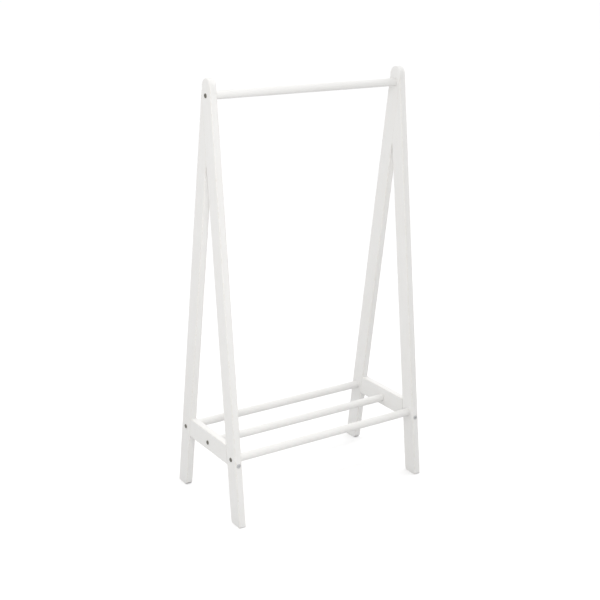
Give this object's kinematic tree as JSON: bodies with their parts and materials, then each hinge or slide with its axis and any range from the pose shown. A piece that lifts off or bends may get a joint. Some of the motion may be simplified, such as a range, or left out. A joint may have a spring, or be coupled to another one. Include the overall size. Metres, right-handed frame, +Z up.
{
  "type": "clothes rack",
  "caption": "Free-standing white wooden clothes rack: two A-shaped end frames joined by a hanging rail and a low shelf of round rails.",
  "frame": {"origin": "on the floor, at the middle of the footprint of the four feet", "axes": "+X along the rails to the right, +Y to the rear, +Z up"},
  "size_m": [0.7944, 0.4394, 1.5],
  "materials": {
    "white_paint": "satin white paint over softwood",
    "bolt_steel": "satin dark nickel plate",
    "zinc_plate": "zinc plate",
    "beech": "bare beech"
  },
  "bodies": {
    "root": {"left_front_leg": "white_paint", "left_rear_leg": "white_paint", "left_stretcher": "white_paint", "right_front_leg": "white_paint", "right_rear_leg": "white_paint", "right_stretcher": "white_paint", "hanging_rail": "white_paint", "front_shelf_rail": "white_paint", "middle_shelf_rail": "white_paint", "rear_shelf_rail": "white_paint", "left_hanging_rail_bolt": "bolt_steel", "left_front_shelf_rail_bolt": "bolt_steel", "left_middle_shelf_rail_bolt": "bolt_steel", "left_rear_shelf_rail_bolt": "bolt_steel", "left_front_stretcher_bolt": "zinc_plate", "left_rear_stretcher_bolt": "zinc_plate", "right_hanging_rail_bolt": "bolt_steel", "right_front_shelf_rail_bolt": "bolt_steel", "right_middle_shelf_rail_bolt": "bolt_steel", "right_rear_shelf_rail_bolt": "bolt_steel", "right_front_stretcher_bolt": "zinc_plate", "right_rear_stretcher_bolt": "zinc_plate", "left_hanging_rail_insert": "zinc_plate", "left_front_shelf_rail_insert": "zinc_plate", "left_middle_shelf_rail_insert": "zinc_plate", "left_rear_shelf_rail_insert": "zinc_plate", "left_front_barrel_nut": "zinc_plate", "left_rear_barrel_nut": "zinc_plate", "right_hanging_rail_insert": "zinc_plate", "right_front_shelf_rail_insert": "zinc_plate", "right_middle_shelf_rail_insert": "zinc_plate", "right_rear_shelf_rail_insert": "zinc_plate", "right_front_barrel_nut": "zinc_plate", "right_rear_barrel_nut": "zinc_plate", "left_front_dowel": "beech", "left_rear_dowel": "beech", "right_front_dowel": "beech", "right_rear_dowel": "beech"}
  },
  "joints": []
}
